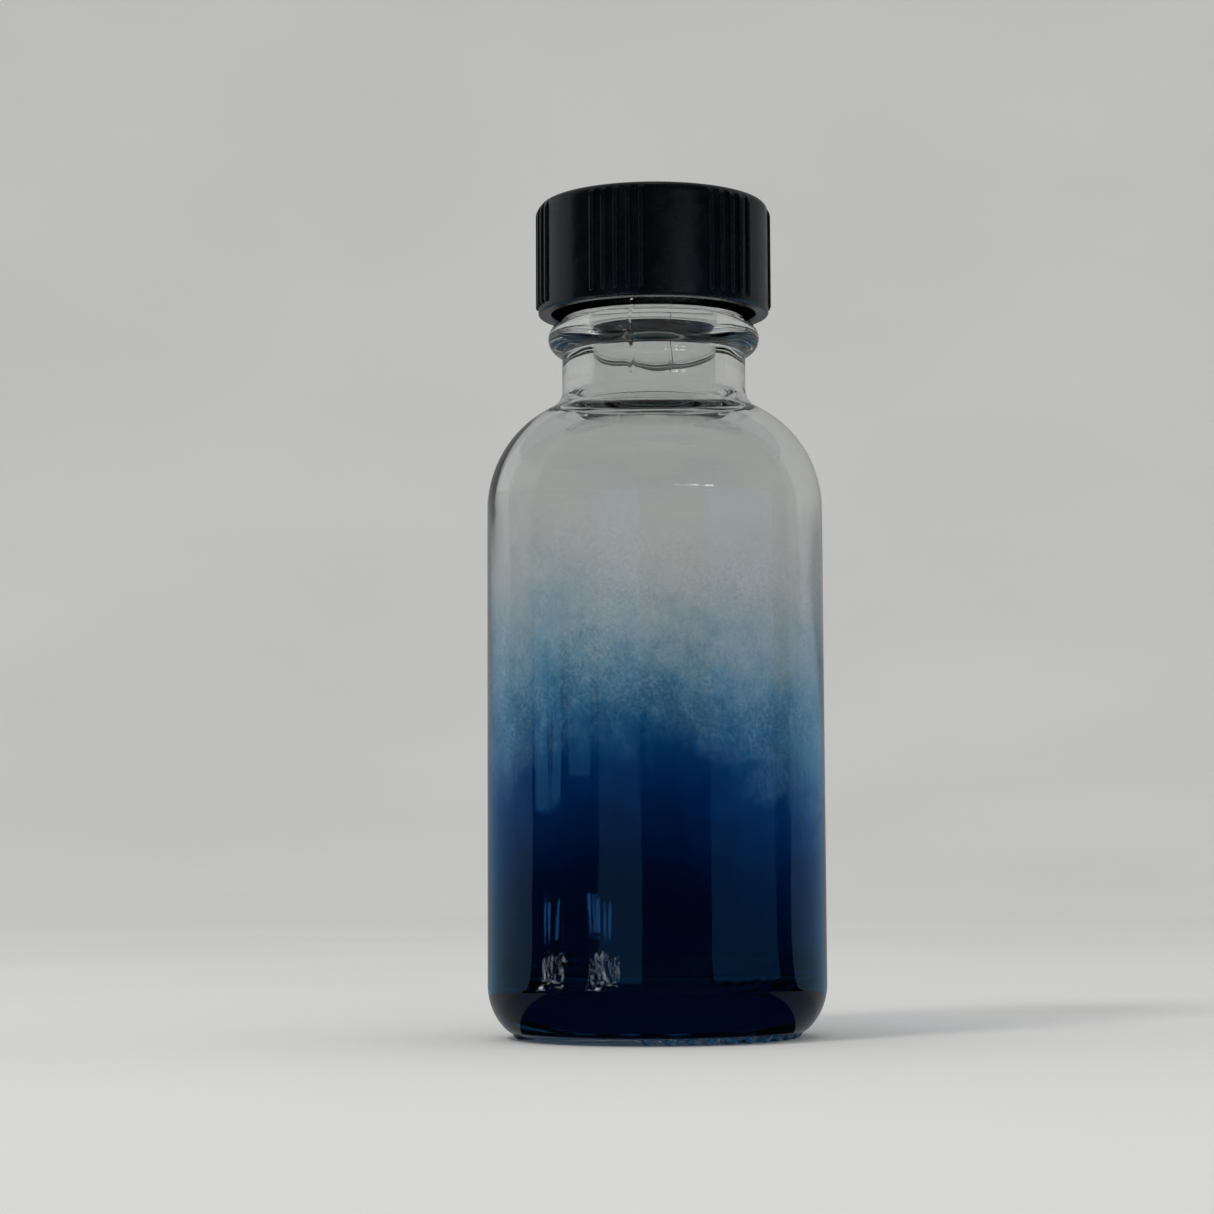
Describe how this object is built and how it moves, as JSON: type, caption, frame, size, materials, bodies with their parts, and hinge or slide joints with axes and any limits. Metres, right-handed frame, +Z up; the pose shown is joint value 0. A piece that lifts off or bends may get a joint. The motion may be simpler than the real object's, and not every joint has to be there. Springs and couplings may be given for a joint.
{
  "type": "paint bottle",
  "caption": "Small round-shouldered glass bottle for paint, with a translucent blue fade lacquered on its outside and a ribbed black screw cap on a cone liner.",
  "frame": {"origin": "centre of the base, on the plane that the bottle stands on", "axes": "+Z up the bottle's axis towards the cap; the front faces -Y"},
  "size_m": [0.0328, 0.0328, 0.0816],
  "materials": {
    "clear_glass": "clear flint glass, fire polished",
    "blue_lacquer": "translucent blue spray lacquer, clear at the top and navy at the base",
    "liner_plastic": "natural polyethylene, slightly waxy",
    "black_cap": "black phenolic, moulded gloss"
  },
  "bodies": {
    "bottle": {"glass_bottle": "clear_glass", "ombre_coating": "blue_lacquer"},
    "liner": {"cone_liner": "liner_plastic"},
    "cap": {"screw_cap": "black_cap"}
  },
  "joints": [
    {"name": "cap_lift", "type": "slide", "parent": "bottle", "child": "liner", "axis": [0, 0, 1], "range_m": [0, 0.016]},
    {"name": "cap_turn", "type": "hinge", "parent": "liner", "child": "cap", "pos_m": [0, 0, 0.0755], "axis": [0, 0, 1], "range_deg": [0, 1800]}
  ],
  "couplings": [
    {"joint": "cap_lift", "follows": "cap_turn", "m_per_rad": 0.00050532}
  ]
}
